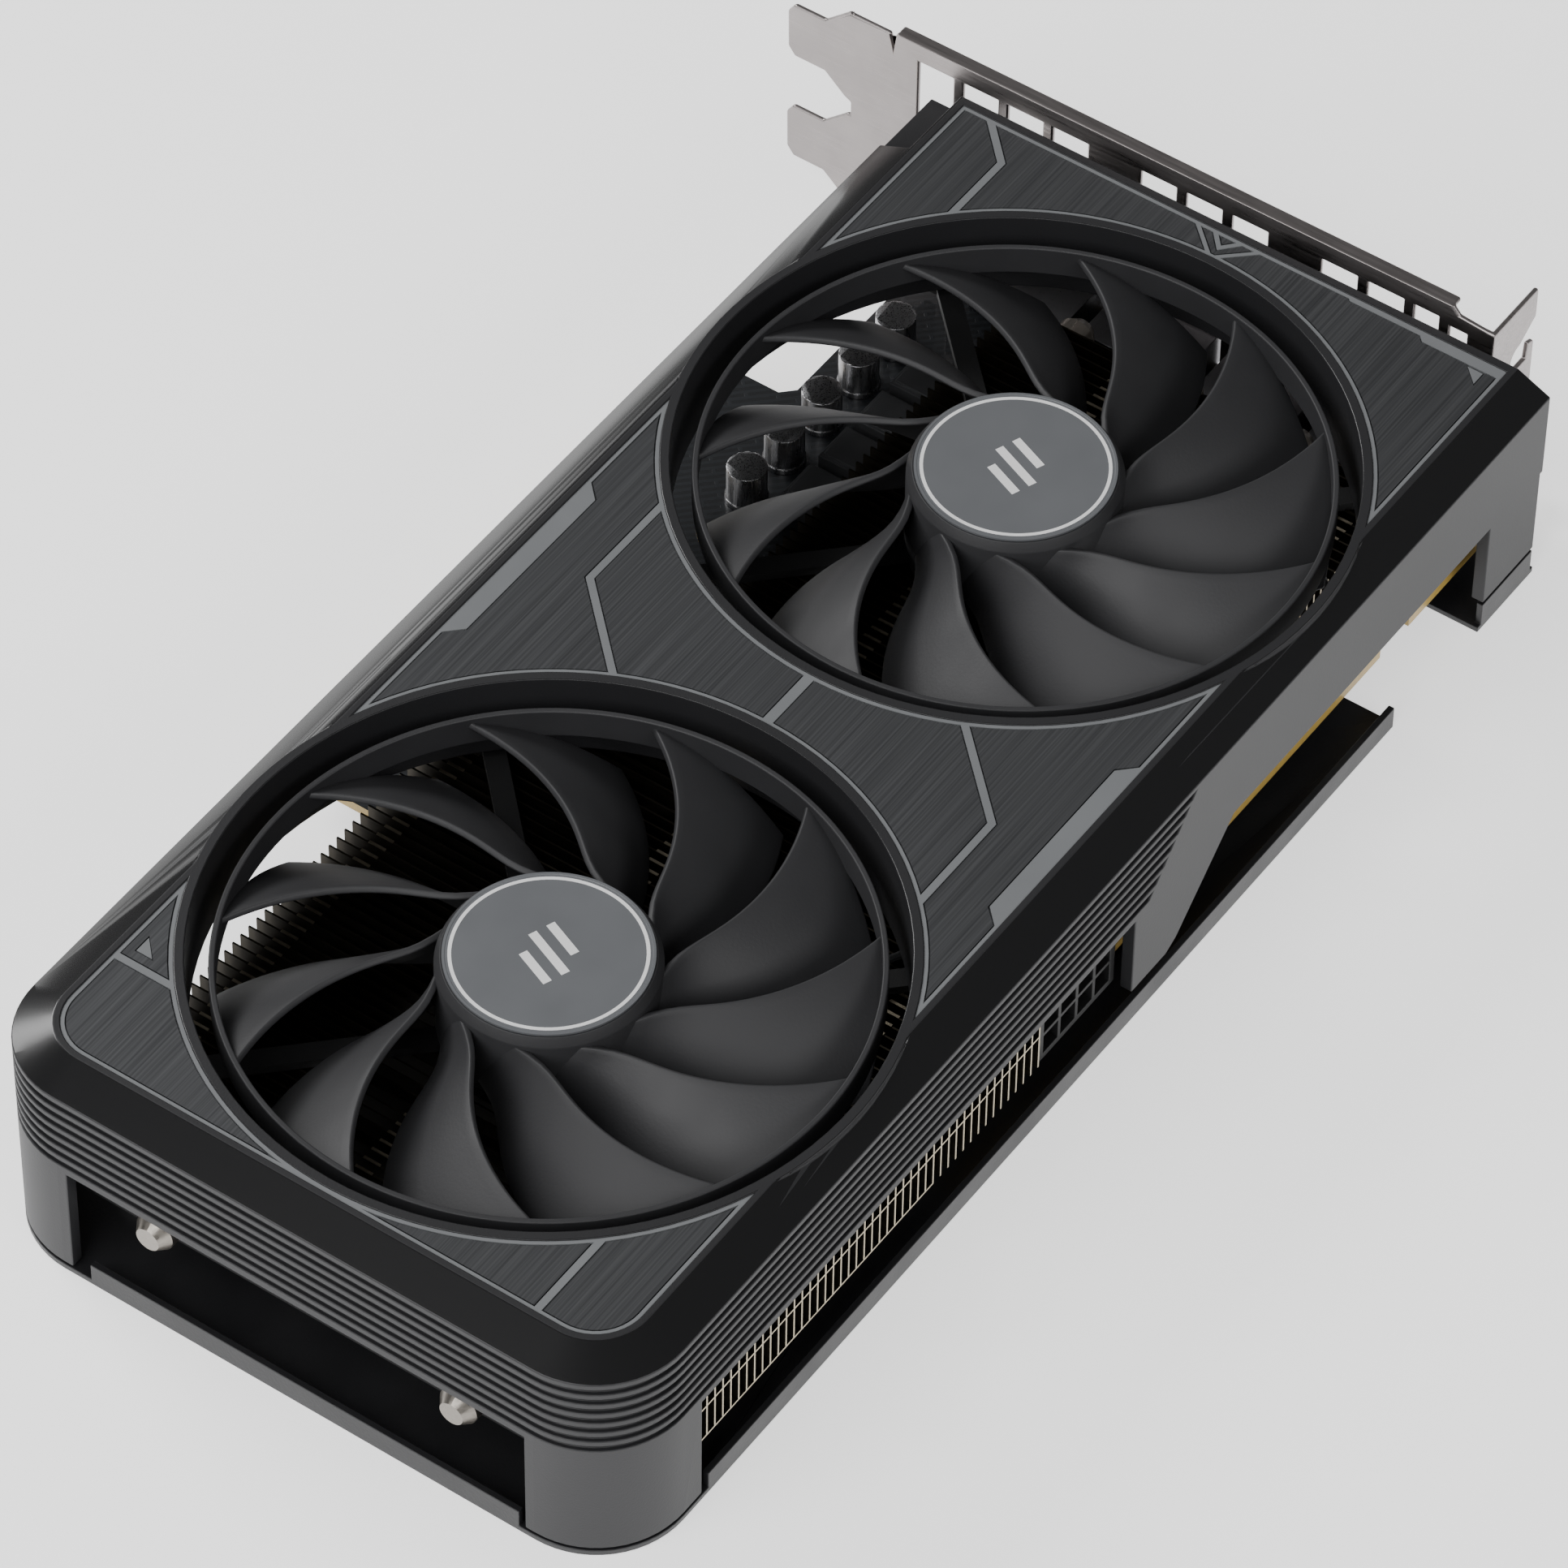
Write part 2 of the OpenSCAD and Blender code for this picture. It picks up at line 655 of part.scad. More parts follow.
module pcb() {
    finger_far = key_x - key_w / 2 - 71.65;
    finger_near = key_x + key_w / 2 + 11.65;
    color("#17181a") card() translate([0, 0, pcb_z]) linear_extrude(pcb_t) difference() {
        union() {
            polygon([
                [pcb_far, pcb_top_y], [pcb_near, pcb_top_y], [pcb_near, 50], [74, 50],
                [72, 52], [72, pcb_slot_y], [pcb_far, pcb_slot_y]
            ]);
            polygon([
                [finger_far, pcb_slot_y - 1], [finger_near, pcb_slot_y - 1], [finger_near, finger_y - 1.2],
                [finger_near - 0.7, finger_y], [finger_far + 0.7, finger_y], [finger_far, finger_y - 1.2]
            ]);
            // Retention hook beyond the fingers
            polygon([
                [finger_far - 10.5, pcb_slot_y - 1], [finger_far - 5.2, pcb_slot_y - 1],
                [finger_far - 5.2, finger_y - 5], [finger_far - 4, finger_y - 4],
                [finger_far - 4, finger_y - 1.4], [finger_far - 10.5, finger_y - 1.4]
            ]);
        }
        // Key slot
        translate([key_x - key_w / 2, finger_y - 8]) square([key_w, 12]);
        // Notch in the top edge
        translate([80, pcb_top_y - 1]) square([7.5, 6]);
        for (sx = [-1, 1], sy = [-1, 1]) translate([gpu_x + sx * hole_dx, sy * hole_dy]) circle(1.7);
        for (p = board_screws) translate(p) circle(1.6);
        for (p = bracket_screw_places) translate(p) circle(1.35);
    }
}

board_screws = [[-22, -40], [-22, 46.5], [67, 46.5], [105, -22]];
bracket_screw_places = [[109.2, -41], [109.2, 46.5]];

module edge_contacts() {
    thick = 0.06;
    color("#c9a552") card() for (z = [pcb_z - thick, board_z]) {
        for (i = [0 : short_contacts - 1])
            translate([key_x + key_w / 2 + 0.5 + i * contact_pitch, finger_y - 6.8, z])
                cube([0.7, 5.6, thick]);
        for (i = [0 : long_contacts - 1])
            translate([key_x - key_w / 2 - 1.2 - i * contact_pitch, finger_y - 6.8, z])
                cube([0.7, 5.6, thick]);
    }
}

module gpu_package() {
    color("#1f3a2c") card() translate([gpu_x - 17.5, -17.5, board_z]) cube([35, 35, 1.2]);
}

module gpu_die() {
    color("#6f7478") card() translate([gpu_x - 9, -8, board_z + 1.2]) cube([18, 16, 0.8]);
}

module memory_chips() {
    color("#1b1b1d") card() for (p = memory_places)
        translate([p[0] - 4.4, p[1] - 7, board_z]) cube([8.8, 14, 1.1]);
}

choke_places = concat(
    [for (i = [0 : 3]) [56 + i * 9, 34]],
    [for (i = [0 : 1]) [86, -14 + i * 26]]
);

module chokes() {
    color("#4c4d50") card() for (p = choke_places)
        translate([p[0] - 3.6, p[1] - 3.6, board_z]) {
            cube([7.2, 7.2, 4.4]);
            translate([0.6, 0.6, 4.4]) cube([6, 6, 0.4]);
        }
}

module capacitors() {
    color("#8b8d90") card() for (i = [0 : 4])
        translate([52 + i * 9.4, 43.5, board_z]) {
            cylinder(h = 0.9, r = 3.2);
            translate([0, 0, 0.9]) cylinder(h = 5.6, r = 3);
        }
}

module power_stages() {
    color("#202022") card() {
        for (i = [0 : 3]) translate([53.4 + i * 9, 24.8, board_z]) cube([5, 5, 0.9]);
        for (i = [0 : 3]) translate([38 + i * 6, -44, board_z]) cube([4, 3, 0.9]);
    }
}

// Eight-way power inlet, opening towards the card's top edge
inlet_x = -2.6;
inlet_w = 18.6;
inlet_y = -50.2;
inlet_d = 10;
inlet_z = board_z;
inlet_h = 9.8;
way_pitch = 4.2;

module power_connector() {
    color("#151517") card() difference() {
        union() {
            translate([inlet_x - inlet_w / 2, inlet_y, inlet_z]) cube([inlet_w, inlet_d, inlet_h]);
            translate([inlet_x - 2, inlet_y + 1, inlet_z + inlet_h - eps]) cube([4, 3.4, 1.4]);
        }
        for (i = [0 : 3], j = [0 : 1])
            translate([inlet_x + (i - 1.5) * way_pitch - 1.75, inlet_y - 1, inlet_z + 1.1 + j * way_pitch])
                cube([3.5, 9, 3.5]);
    }
}

module power_pins() {
    color("#b8b49c") card() for (i = [0 : 3], j = [0 : 1])
        translate([inlet_x + (i - 1.5) * way_pitch - 0.55, inlet_y + 2, inlet_z + 2.3 + j * way_pitch])
            cube([1.1, 6, 1.1]);
}

module backplate() {
    lip = 1;
    color("#2a2a2c") card() difference() {
        union() {
            linear_extrude(1) difference() {
                union() {
                    translate([x_far + corner_r, -half_w]) square([x_near - x_far - corner_r, shroud_w]);
                    translate([x_far, -half_w + corner_r]) square([corner_r + eps, shroud_w - 2 * corner_r]);
                    for (s = [-1, 1]) translate([x_far + corner_r, s * (half_w - corner_r)]) circle(corner_r);
                }
                // Notch under the gap in the top edge
                translate([74.4, -half_w - 1]) square([22.4, 16]);
                // The slot connector's side stays clear
                translate([-24, 50.5]) square([98, 10]);
            }
            // Folded lips: along the top edge, at the bracket end and at the far end
            translate([-92.9, -half_w, 0]) cube([167.3, lip, 4]);
            translate([97.6, -half_w, 0]) cube([13.4, lip, 5]);
            translate([x_far, -36.5, 0]) cube([lip, 71, 4]);
        }
        // Air slots under the far fan
        for (i = [0 : 4]) translate([-100 + i * 8.5, -32, -1]) {
            cube([4.5, 64, 3]);
            for (y = [0, 64]) translate([2.25, y, 0]) cylinder(h = 3, r = 2.25);
        }
        // Windows over the cooler's spring screws
        for (sx = [-1, 1], sy = [-1, 1])
            translate([gpu_x + sx * hole_dx, sy * hole_dy, -1]) cylinder(h = 3, r = 4);
        for (p = board_screws) translate([p[0], p[1], -1]) cylinder(h = 3, r = 1.6);
        for (p = board_screws) translate([p[0], p[1], -1]) cylinder(h = 1.7, r = 2.7);
    }
}

module standoffs() {
    color("#9a9c9f") card() for (p = board_screws)
        translate([p[0], p[1], 1]) difference() {
            cylinder(h = pcb_z - 1, r = 2.5, $fn = 6);
            translate([0, 0, -1]) cylinder(h = pcb_z + 1, r = 1.25);
        }
}

module backplate_screws() {
    color("#6e7073") card() for (p = board_screws)
        translate([p[0], p[1], 0.15]) {
            cylinder(h = 0.55, r = 2.5);
            cylinder(h = 3.4, r = 1.2);
        }
}

// Outline of the bracket in (slot direction y, height z)
module tongue(z) {
    polygon([
        [body_end - 0.6, z - 8.9], [body_end + 0.6, z - 8.3], [73.3, z - 5.1], [78.7, z - 5.1],
        [79.9, z - 3.5], [tongue_end, z + 3.4], [78.8, z + 5.1], [73.3, z + 5.1],
        [body_end, z + 8.9], [body_end - 0.6, z + 8.9]
    ]);
}

window_w = 6;
window_h = 12.5;
window_z = 26;
window_pitch = 7.85;
window_starts = concat(
    [for (i = [-1 : 2]) 42.8 - i * window_pitch],
    [for (i = [0 : 2]) 11.8 - i * window_pitch],
    [for (i = [0 : 1]) -19.1 - i * window_pitch]
);

module bracket_face() {
    difference() {
        union() {
            polygon([
                [tab_y + 1, bracket_z + 1], [tab_y + 5, bracket_z], [body_end - 0.5, bracket_z],
                [body_end - 0.5, bracket_top - 0.4], [61.8, bracket_top - 0.4], [61.2, bracket_top - 2.8],
                [60.8, bracket_top], [-35, bracket_top], [-36.2, bracket_top - 1.4],
                [tab_y + 1, bracket_top - 1.8]
            ]);
            for (i = [0, 1]) tongue(bracket_z + slot_w / 2 + i * slot_pitch);
        }
        // Air windows in the upper slot
        for (y = window_starts) translate([y, window_z]) square([window_w, window_h]);
        translate([-32.8, window_z]) square([4, window_h]);
        translate([-37.6, 30]) square([2.9, 7.6]);
        // Sockets in the lower slot
        for (y = dp_places) translate([y - 8.7, port_z - 0.3]) square([17.4, 6.6]);
        translate([hdmi_y - 7.9, port_z - 0.3]) square([15.8, 6.6]);
    }
}

dp_places = [-26.5, 11.5, 31];
hdmi_y = -7.5;

module bracket() {
    color("#b4b3b2") card() difference() {
        union() {
            translate([bracket_x, 0, 0]) rotate([90, 0, 90]) linear_extrude(bracket_t) bracket_face();
            // Rolled lip along the upper edge
            translate([bracket_x, -35, bracket_top - bracket_t]) cube([2.4, 95.8, bracket_t]);
            // Screw tab
            translate([bracket_x, tab_y - bracket_t, bracket_z + 1])
                cube([tab_end - bracket_x, bracket_t, bracket_top - bracket_z - 2.8]);
            translate([bracket_x, tab_y - eps, bracket_z + 1])
                cube([bracket_t, 1.1, bracket_top - bracket_z - 2.8]);
            // Feet screwed to the board
            for (p = bracket_screw_places)
                translate([bracket_x - 8, p[1] - 3, board_z]) cube([8 + eps, 6, bracket_t]);
        }
        // Screw notches and the slanted way in to each
        for (i = [0, 1]) translate([0, 0, i * slot_pitch]) {
            translate([bracket_x + 7.9, tab_y + 5, 9.2]) rotate([90, 0, 0]) cylinder(h = 10, r = 2.2);
            translate([0, tab_y + 5, 0]) rotate([90, 0, 0]) linear_extrude(10)
                polygon([[bracket_x + 7.9, 7], [bracket_x + 10, 7], [bracket_x + 10.3, 9.9],
                    [bracket_x + 13, 9], [bracket_x + 13, 14.9], [bracket_x + 7.9, 11.4]]);
        }
        for (p = bracket_screw_places) translate([p[0], p[1], 0]) cylinder(h = 20, r = 1.35);
    }
}

module bracket_screws() {
    color("#9b9da0") card() for (p = bracket_screw_places) translate([p[0], p[1], 0]) {
        translate([0, 0, board_z + bracket_t]) cylinder(h = 1.6, r = 2.4);
        translate([0, 0, pcb_z]) cylinder(h = pcb_t + bracket_t + eps, r = 1.3);
    }
}

// Metal socket shell with an insulating tongue, opening out of the bracket
module socket(y, width, depth, tongue_w) {
    height = 6;
    skin = 0.5;
    x0 = bracket_x + bracket_t - depth;
    translate([x0, y - width / 2, port_z]) difference() {
        cube([depth, width, height]);
        translate([skin, skin, skin]) cube([depth, width - 2 * skin, height - 2 * skin]);
    }
    translate([x0, y - tongue_w / 2, port_z + height / 2 - 0.5]) cube([depth - 2, tongue_w, 1]);
    translate([x0, y - width / 2 + 1, board_z]) cube([depth - 3, 2, port_z - board_z + eps]);
    translate([x0, y + width / 2 - 3, board_z]) cube([depth - 3, 2, port_z - board_z + eps]);
}

module dp_ports() {
    color("#9fa0a1") card() for (y = dp_places) socket(y, 16.8, 12, 12.4);
}

module hdmi_port() {
    color("#9fa0a1") card() socket(hdmi_y, 15.2, 12, 11.6);
}

shroud();
end_baffle();
face_plate();
accent_strips();
fan_frame(-1);  // fan_frame_far
fan_frame(1);  // fan_frame_near
fan_screws();
bearing(-1);  // bearing_far
bearing(1);  // bearing_near
stator(-1);  // stator_far
stator(1);  // stator_near
rotor(-1);  // rotor_far
rotor(1);  // rotor_near
fan_badge(-1);  // fan_badge_far
fan_badge(1);  // fan_badge_near
magnet(-1);  // magnet_far
magnet(1);  // magnet_near
shaft(-1);  // shaft_far
shaft(1);  // shaft_near
fan_lead_far();
fan_lead_near();
lead_plugs();
fan_headers();
fins_far();
fins_near();
outer_pipe(-1);  // heat_pipe_top
heat_pipe_mid();
outer_pipe(1);  // heat_pipe_slot
base_plate();
thermal_pads();
cooler_screws();
cooler_springs();
pcb();
edge_contacts();
gpu_package();
gpu_die();
memory_chips();
chokes();
capacitors();
power_stages();
power_connector();
power_pins();
backplate();
standoffs();
backplate_screws();
bracket();
bracket_screws();
dp_ports();
hdmi_port();
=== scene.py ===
import json
import math

import bmesh
import bpy
from mathutils import Matrix, Vector


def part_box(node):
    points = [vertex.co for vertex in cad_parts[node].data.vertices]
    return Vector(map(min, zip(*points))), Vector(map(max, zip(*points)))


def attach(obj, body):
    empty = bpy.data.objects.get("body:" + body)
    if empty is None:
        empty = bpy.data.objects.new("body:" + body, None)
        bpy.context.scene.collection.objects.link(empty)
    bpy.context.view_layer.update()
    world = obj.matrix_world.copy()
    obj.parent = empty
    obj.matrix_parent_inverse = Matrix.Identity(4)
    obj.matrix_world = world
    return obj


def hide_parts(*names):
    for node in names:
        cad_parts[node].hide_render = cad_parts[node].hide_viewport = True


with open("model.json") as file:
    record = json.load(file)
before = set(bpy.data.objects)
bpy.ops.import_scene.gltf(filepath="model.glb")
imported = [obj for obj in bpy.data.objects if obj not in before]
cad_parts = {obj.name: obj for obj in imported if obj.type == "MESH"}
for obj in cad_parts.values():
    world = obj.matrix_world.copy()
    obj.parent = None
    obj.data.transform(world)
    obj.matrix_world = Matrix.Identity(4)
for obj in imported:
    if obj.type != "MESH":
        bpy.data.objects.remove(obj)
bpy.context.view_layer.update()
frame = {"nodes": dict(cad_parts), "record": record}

MM = 0.001
SLOT = {p["node"]: p["material_slot"] for p in frame["record"]["subparts"]}
BODY = {n: b for b, nodes in frame["record"]["behaviour"]["bodies"].items() for n in nodes}
FANS = ("far", "near")


# ---------------------------------------------------------------- colours and nodes

def hexed(code):
    """An sRGB hex colour as the linear, opaque colour that a shader takes."""
    parts = [int(code[i:i + 2], 16) / 255 for i in (1, 3, 5)]
    linear = [c / 12.92 if c <= 0.04045 else ((c + 0.055) / 1.055) ** 2.4 for c in parts]
    return (*linear, 1.0)


def per_mm(size_mm, stretch=(1, 1, 1)):
    """Mapping scale that makes a pattern's grains size_mm across, drawn out by stretch."""
    return tuple(1 / (size_mm * MM * s) for s in stretch)


def add(tree, kind, inputs=None, **settings):
    """Adds a shader node, with its settings and with values or links for its inputs."""
    made = tree.nodes.new(kind)
    for name, value in settings.items():
        setattr(made, name, value)
    for key, value in (inputs or {}).items():
        if isinstance(value, bpy.types.NodeSocket):
            tree.links.new(value, made.inputs[key])
        else:
            made.inputs[key].default_value = value
    return made


def start(name, **shader_inputs):
    """A new material: its node tree, its shader and the object's own coordinates in metres."""
    material = bpy.data.materials.new(name)
    material.use_nodes = True
    tree = material.node_tree
    shader = tree.nodes["Principled BSDF"]
    for key, value in shader_inputs.items():
        shader.inputs[key.replace("_", " ")].default_value = value
    where = add(tree, "ShaderNodeTexCoord").outputs["Object"]
    return material, tree, shader, where


def connect(tree, shader, colour, rough, relief):
    """Links a colour, a roughness and a bump to the shader."""
    tree.links.new(colour.outputs["Result"], shader.inputs["Base Color"])
    tree.links.new(rough.outputs["Result"], shader.inputs["Roughness"])
    tree.links.new(relief.outputs["Normal"], shader.inputs["Normal"])


def moulded(name, dark, light, rough, grain_mm, depth_mm, **more):
    """Injection-moulded plastic: an even grain from the mould, and faint cloudy variation in gloss."""
    material, tree, shader, where = start(name, IOR=1.5, **more)
    fine = add(tree, "ShaderNodeMapping", {"Vector": where, "Scale": per_mm(grain_mm)}).outputs[0]
    wide = add(tree, "ShaderNodeMapping", {"Vector": where, "Scale": per_mm(9)}).outputs[0]
    grain = add(tree, "ShaderNodeTexNoise", {"Vector": fine, "Scale": 1.0, "Detail": 3.0}).outputs["Fac"]
    cloud = add(tree, "ShaderNodeTexNoise", {"Vector": wide, "Scale": 1.0, "Detail": 2.0}).outputs["Fac"]
    connect(
        tree, shader,
        add(tree, "ShaderNodeMix", {
            "Factor": cloud, "A": hexed(dark), "B": hexed(light)}, data_type="RGBA"),
        add(tree, "ShaderNodeMapRange", {
            "Value": cloud, "From Min": 0.3, "From Max": 0.7,
            "To Min": rough - 0.04, "To Max": rough + 0.04}),
        add(tree, "ShaderNodeBump", {"Height": grain, "Distance": depth_mm * MM, "Strength": 1.0}))
    return material


def metal(name, dark, light, rough, grain_mm, depth_mm, stretch=(1, 1, 1)):
    """Bare or plated metal: fine marks of how it was worked, and a duller bloom here and there."""
    material, tree, shader, where = start(name, Metallic=1.0)
    fine = add(tree, "ShaderNodeMapping", {"Vector": where, "Scale": per_mm(grain_mm, stretch)}).outputs[0]
    wide = add(tree, "ShaderNodeMapping", {"Vector": where, "Scale": per_mm(7)}).outputs[0]
    marks = add(tree, "ShaderNodeTexNoise", {"Vector": fine, "Scale": 1.0, "Detail": 3.0}).outputs["Fac"]
    bloom = add(tree, "ShaderNodeTexNoise", {"Vector": wide, "Scale": 1.0, "Detail": 3.0}).outputs["Fac"]
    connect(
        tree, shader,
        add(tree, "ShaderNodeMix", {
            "Factor": bloom, "A": hexed(dark), "B": hexed(light)}, data_type="RGBA"),
        add(tree, "ShaderNodeMapRange", {
            "Value": marks, "From Min": 0.3, "From Max": 0.7,
            "To Min": rough - 0.07, "To Max": rough + 0.09}),
        add(tree, "ShaderNodeBump", {"Height": marks, "Distance": depth_mm * MM, "Strength": 1.0}))
    return material


# ---------------------------------------------------------------- materials

# The shroud's bevel lies above this height, and this is the upward part of its normal
BEVEL_LOW = 35.4
BEVEL_UP = 0.9
BEVEL_SPREAD = 0.07


def shroud_abs():
    """ABS from a spark-eroded mould: a fine even matte; the bevel has the polished mould's gloss, and its
    colour is painted darker there as painted shade.
    """
    material, tree, shader, where = start("ABS moulded matte and gloss with painted bevel shade", IOR=1.46)
    fine = add(tree, "ShaderNodeMapping", {"Vector": where, "Scale": per_mm(0.3)}).outputs[0]
    wide = add(tree, "ShaderNodeMapping", {"Vector": where, "Scale": per_mm(12)}).outputs[0]
    grain = add(tree, "ShaderNodeTexNoise", {"Vector": fine, "Scale": 1.0, "Detail": 3.0}).outputs["Fac"]
    cloud = add(tree, "ShaderNodeTexNoise", {"Vector": wide, "Scale": 1.0, "Detail": 2.0}).outputs["Fac"]
    # Above BEVEL_LOW only the bevel leans, apart from the rounding of edges
    facing = add(tree, "ShaderNodeNewGeometry").outputs["Normal"]
    up = add(tree, "ShaderNodeSeparateXYZ", {"Vector": facing}).outputs["Z"]
    height = add(tree, "ShaderNodeSeparateXYZ", {"Vector": where}).outputs["Z"]
    leaning = add(tree, "ShaderNodeMath", {
        0: up, 1: BEVEL_UP, 2: BEVEL_SPREAD}, operation="COMPARE").outputs[0]
    high = add(tree, "ShaderNodeMath", {0: height, 1: BEVEL_LOW * MM}, operation="GREATER_THAN").outputs[0]
    gloss = add(tree, "ShaderNodeMath", {0: leaning, 1: high}, operation="MULTIPLY").outputs[0]
    matte = add(tree, "ShaderNodeMix", {
        "Factor": cloud, "A": hexed("#202022"), "B": hexed("#262628")}, data_type="RGBA").outputs["Result"]
    relief = add(
        tree, "ShaderNodeMath", {0: grain, 1: gloss}, operation="SUBTRACT", use_clamp=True).outputs[0]
    # Painted shade: the bevel's colour #151516 is darker than the matte; only its lower roughness is the
    # real gloss
    connect(
        tree, shader,
        add(tree, "ShaderNodeMix", {"Factor": gloss, "A": matte, "B": hexed("#151516")}, data_type="RGBA"),
        add(tree, "ShaderNodeMapRange", {"Value": gloss, "To Min": 0.5, "To Max": 0.2}),
        add(tree, "ShaderNodeBump", {"Height": relief, "Distance": 0.02 * MM, "Strength": 1.0}))
    return material


def brushed_plate():
    """Aluminium sheet, brushed along the card and anodised dark grey: long fine streaks of uneven gloss."""
    material, tree, shader, where = start("aluminium brushed and anodised", Metallic=0.7)
    # Real brushing is finer, about 0.1 mm from streak to streak
    fine = add(tree, "ShaderNodeMapping", {
        "Vector": where, "Scale": per_mm(0.32, (120, 1, 120))}).outputs[0]
    wide = add(tree, "ShaderNodeMapping", {"Vector": where, "Scale": per_mm(30)}).outputs[0]
    streaks = add(tree, "ShaderNodeTexNoise", {"Vector": fine, "Scale": 1.0, "Detail": 4.0}).outputs["Fac"]
    cloud = add(tree, "ShaderNodeTexNoise", {"Vector": wide, "Scale": 1.0, "Detail": 1.0}).outputs["Fac"]
    tone = add(tree, "ShaderNodeMapRange", {"Value": streaks, "From Min": 0.3, "From Max": 0.7}).outputs[0]
    gloss = add(tree, "ShaderNodeMath", {0: streaks, 1: 0.3, 2: 0.28}, operation="MULTIPLY_ADD").outputs[0]
    connect(
        tree, shader,
        add(tree, "ShaderNodeMix", {
            "Factor": tone, "A": hexed("#47484a"), "B": hexed("#5c5d5f")}, data_type="RGBA"),
        add(tree, "ShaderNodeMapRange", {"Value": cloud, "To Min": gloss, "To Max": 0.5}),
        add(tree, "ShaderNodeBump", {"Height": streaks, "Distance": 0.008 * MM, "Strength": 1.0}))
    return material


def printed_inlay():
    """Satin lacquer inlay, light grey: smooth, with a faint orange-peel."""
    return moulded("lacquer printed satin grey", "#6e7072", "#76787a", 0.42, 0.8, 0.008)


def badge_label():
    """Polycarbonate label, satin grey with a finely sanded face."""
    return moulded("polycarbonate label satin grey", "#5e6063", "#66686b", 0.42, 0.2, 0.008)


def badge_ink():
    """White screen ink on the label: opaque, a little chalky."""
    return moulded("screen ink white", "#e4e4e4", "#f2f2f2", 0.5, 0.2, 0.01)


def fan_pbt():
    """Glass-filled PBT from a finely etched mould: satin, with soft cloudy sheen on the blades."""
    return moulded("PBT moulded satin", "#29292b", "#2f2f31", 0.56, 0.45, 0.02)


def frame_abs_painted_shade():
    """ABS, moulded: near black, darker than the blades as painted shade under them; seen only between the
    blades.
    """
    return moulded("ABS moulded dull black", "#0f0f10", "#141415", 0.65, 0.4, 0.03)


def baffle_sheet_painted_shade():
    """Thin near-black sheet behind the far opening, standing in for the shade inside it: dull, with a
    coarse mould grain.
    """
    return moulded("ABS sheet dull black", "#131314", "#19191b", 0.7, 0.7, 0.04)


def nylon_black_painted_shade():
    """Black nylon of the power inlet, darkened to near black as painted shade for its recess: slightly
    waxy, with flow marks.
    """
    return moulded("nylon moulded black", "#0c0c0d", "#121213", 0.55, 0.6, 0.02)


def nylon_white():
    """Natural nylon of the small plugs: milky, a little translucent."""
    return moulded("nylon moulded natural", "#d6d0be", "#e4dfce", 0.45, 0.6, 0.02, Subsurface_Weight=0.1)


def cable_pvc():
    """PVC insulation, extruded: rubbery, with faint rings from the die."""
    return moulded("PVC extruded black", "#151516", "#1d1d1f", 0.5, 0.9, 0.02)


def pad_silicone():
    """Filled silicone pad: soft, dull and grainy."""
    return moulded("silicone pad filled grey", "#7d8894", "#95a0aa", 0.85, 0.25, 0.05)


def chip_epoxy():
    """Moulded epoxy of the chips: dull black with a pitted face."""
    return moulded("epoxy moulded black", "#1c1c1e", "#262628", 0.55, 0.15, 0.02)


def choke_ferrite():
    """Pressed ferrite powder: dark grey with metallic specks."""
    return moulded("ferrite pressed grey", "#38393b", "#5a5b5d", 0.5, 0.25, 0.03, Metallic=0.35)


def package_laminate():
    """Glass-epoxy laminate of the processor: green, with a faint weave."""
    material, tree, shader, where = start("laminate green with solder mask", IOR=1.5, Coat_Weight=0.4)
    weave = add(tree, "ShaderNodeTexWave", {
        "Vector": where, "Scale": 320.0, "Distortion": 0.4}).outputs["Fac"]
    connect(
        tree, shader,
        add(tree, "ShaderNodeMix", {
            "Factor": weave, "A": hexed("#1d3b29"), "B": hexed("#274c36")}, data_type="RGBA"),
        add(tree, "ShaderNodeMapRange", {"Value": weave, "To Min": 0.28, "To Max": 0.4}),
        add(tree, "ShaderNodeBump", {"Height": weave, "Distance": 0.008 * MM, "Strength": 1.0}))
    return material


def die_silicon():
    """Polished silicon: a dark mirror with a violet cast."""
    return metal("silicon polished", "#4a4c58", "#5d6070", 0.12, 2.0, 0.001)


def board_mask():
    """Glass-epoxy board under black solder mask: tracks stand out faintly, the bare edge is ochre."""
    material, tree, shader, where = start("laminate board black solder mask", IOR=1.5, Coat_Weight=0.3)
    slanted = add(tree, "ShaderNodeMapping", {
        "Vector": where, "Scale": per_mm(2.4), "Rotation": (0, 0, math.radians(45))}).outputs[0]
    fine = add(tree, "ShaderNodeMapping", {"Vector": where, "Scale": per_mm(0.4)}).outputs[0]
    tracks = add(tree, "ShaderNodeTexBrick", {
        "Vector": slanted, "Scale": 1.0, "Mortar Size": 0.12, "Brick Width": 3.0, "Row Height": 0.5},
        offset=0.37).outputs["Fac"]
    fibres = add(tree, "ShaderNodeTexNoise", {"Vector": fine, "Scale": 1.0, "Detail": 3.0}).outputs["Fac"]
    facing = add(tree, "ShaderNodeNewGeometry").outputs["Normal"]
    up = add(tree, "ShaderNodeSeparateXYZ", {"Vector": facing}).outputs["Z"]
    flat = add(tree, "ShaderNodeMath", {0: up}, operation="ABSOLUTE").outputs[0]
    edge = add(tree, "ShaderNodeMath", {0: flat, 1: 0.4}, operation="LESS_THAN").outputs[0]
    top = add(tree, "ShaderNodeMix", {
        "Factor": tracks, "A": hexed("#15171a"), "B": hexed("#1e2125")}, data_type="RGBA").outputs["Result"]
    bare = add(tree, "ShaderNodeMix", {
        "Factor": fibres, "A": hexed("#a8893c"), "B": hexed("#cdae60")}, data_type="RGBA").outputs["Result"]
    connect(
        tree, shader,
        add(tree, "ShaderNodeMix", {"Factor": edge, "A": top, "B": bare}, data_type="RGBA"),
        add(tree, "ShaderNodeMapRange", {"Value": fibres, "To Min": 0.3, "To Max": 0.5}),
        add(tree, "ShaderNodeBump", {"Height": tracks, "Distance": 0.02 * MM, "Strength": 1.0}))
    return material


